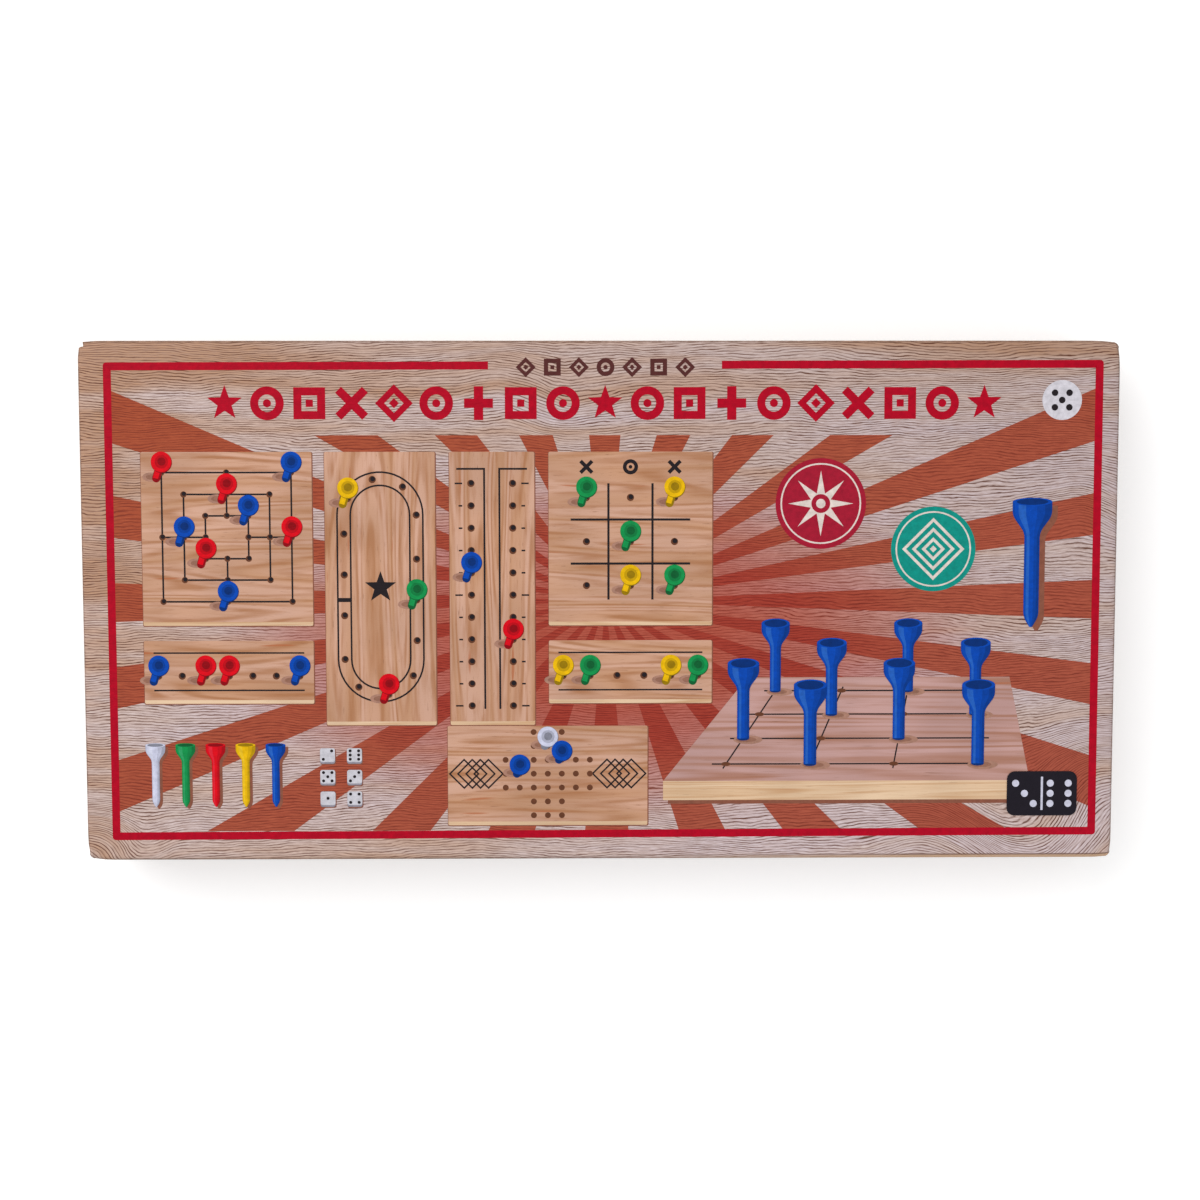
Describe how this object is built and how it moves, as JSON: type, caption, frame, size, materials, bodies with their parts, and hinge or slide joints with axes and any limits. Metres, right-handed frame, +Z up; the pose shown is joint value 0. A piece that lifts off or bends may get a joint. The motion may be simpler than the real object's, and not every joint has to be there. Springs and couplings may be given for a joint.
{
  "type": "boxed peg board game set",
  "caption": "Flat cardboard lid-and-base game box holding drilled wooden peg boards in two layers, coloured cup-headed pegs and dice in a slotted partition bay, and a folded leaflet.",
  "frame": {"origin": "middle of the base's underside, on the surface the box stands on", "axes": "+X along the box's length, +Y across it towards the upper edge of the lid's print, +Z up"},
  "size_m": [0.33, 0.166, 0.032],
  "materials": {
    "printed_board": "litho-printed and varnished corrugated board",
    "kraft_board": "bare kraft corrugated board",
    "pine": "sanded bare pine",
    "leaflet_paper": "uncoated printing paper",
    "red_plastic": "moulded, slightly glossy",
    "yellow_plastic": "moulded, slightly glossy",
    "green_plastic": "moulded, slightly glossy",
    "blue_plastic": "moulded, slightly glossy",
    "white_plastic": "moulded, slightly glossy",
    "dice_plastic": "polished"
  },
  "bodies": {
    "base": {"base": "kraft_board"},
    "lid": {"lid": "printed_board"},
    "rules_leaflet": {"rules_leaflet": "leaflet_paper"},
    "triangle_board": {"triangle_board": "pine"},
    "star_board": {"star_board": "pine"},
    "swap_row_board": {"swap_row_board": "pine"},
    "track_board": {"track_board": "pine"},
    "ladder_board": {"ladder_board": "pine"},
    "number_row_board": {"number_row_board": "pine"},
    "grid_board": {"grid_board": "pine"},
    "red_pegs": {"red_pegs": "red_plastic"},
    "yellow_pegs": {"yellow_pegs": "yellow_plastic"},
    "green_pegs": {"green_pegs": "green_plastic"},
    "blue_pegs": {"blue_pegs": "blue_plastic"},
    "white_pegs": {"white_pegs": "white_plastic"},
    "dice": {"die_1": "dice_plastic", "die_2": "dice_plastic", "die_3": "dice_plastic", "die_4": "dice_plastic", "die_5": "dice_plastic", "die_6": "dice_plastic"},
    "partitions": {"long_partition": "kraft_board", "cross_partition_1": "kraft_board", "cross_partition_2": "kraft_board", "cross_partition_3": "kraft_board"}
  },
  "joints": [
    {"name": "lid_lift", "type": "slide", "parent": "base", "child": "lid", "axis": [0, 0, 1], "range_m": [0, 0.24]},
    {"name": "leaflet_lift", "type": "slide", "parent": "base", "child": "rules_leaflet", "axis": [0, 0, 1], "range_m": [0, 0.1973]},
    {"name": "triangle_lift", "type": "slide", "parent": "base", "child": "triangle_board", "axis": [0, 0, 1], "range_m": [0, 0.1493]},
    {"name": "star_lift", "type": "slide", "parent": "base", "child": "star_board", "axis": [0, 0, 1], "range_m": [0, 0.1493]},
    {"name": "swap_row_lift", "type": "slide", "parent": "base", "child": "swap_row_board", "axis": [0, 0, 1], "range_m": [0, 0.1493]},
    {"name": "track_lift", "type": "slide", "parent": "base", "child": "track_board", "axis": [0, 0, 1], "range_m": [0, 0.0965]},
    {"name": "ladder_lift", "type": "slide", "parent": "base", "child": "ladder_board", "axis": [0, 0, 1], "range_m": [0, 0.0965]},
    {"name": "number_row_lift", "type": "slide", "parent": "base", "child": "number_row_board", "axis": [0, 0, 1], "range_m": [0, 0.0965]},
    {"name": "grid_lift", "type": "slide", "parent": "base", "child": "grid_board", "axis": [0, 0, 1], "range_m": [0, 0.0965]},
    {"name": "reds_lift", "type": "slide", "parent": "base", "child": "red_pegs", "axis": [0, 0, 1], "range_m": [0, 0.0869]},
    {"name": "yellows_lift", "type": "slide", "parent": "base", "child": "yellow_pegs", "axis": [0, 0, 1], "range_m": [0, 0.1205]},
    {"name": "greens_lift", "type": "slide", "parent": "base", "child": "green_pegs", "axis": [0, 0, 1], "range_m": [0, 0.0869]},
    {"name": "blues_lift", "type": "slide", "parent": "base", "child": "blue_pegs", "axis": [0, 0, 1], "range_m": [0, 0.1205]},
    {"name": "whites_lift", "type": "slide", "parent": "base", "child": "white_pegs", "axis": [0, 0, 1], "range_m": [0, 0.0869]},
    {"name": "dice_lift", "type": "slide", "parent": "base", "child": "dice", "axis": [0, 0, 1], "range_m": [0, 0.0869]},
    {"name": "insert_lift", "type": "slide", "parent": "base", "child": "partitions", "axis": [0, 0, 1], "range_m": [0, 0.0365]}
  ],
  "couplings": [
    {"joint": "leaflet_lift", "follows": "lid_lift", "ratio": 0.82},
    {"joint": "triangle_lift", "follows": "lid_lift", "ratio": 0.62},
    {"joint": "star_lift", "follows": "lid_lift", "ratio": 0.62},
    {"joint": "swap_row_lift", "follows": "lid_lift", "ratio": 0.62},
    {"joint": "track_lift", "follows": "lid_lift", "ratio": 0.4},
    {"joint": "ladder_lift", "follows": "lid_lift", "ratio": 0.4},
    {"joint": "number_row_lift", "follows": "lid_lift", "ratio": 0.4},
    {"joint": "grid_lift", "follows": "lid_lift", "ratio": 0.4},
    {"joint": "reds_lift", "follows": "lid_lift", "ratio": 0.36},
    {"joint": "yellows_lift", "follows": "lid_lift", "ratio": 0.5},
    {"joint": "greens_lift", "follows": "lid_lift", "ratio": 0.36},
    {"joint": "blues_lift", "follows": "lid_lift", "ratio": 0.5},
    {"joint": "whites_lift", "follows": "lid_lift", "ratio": 0.36},
    {"joint": "dice_lift", "follows": "lid_lift", "ratio": 0.36},
    {"joint": "insert_lift", "follows": "lid_lift", "ratio": 0.15}
  ]
}
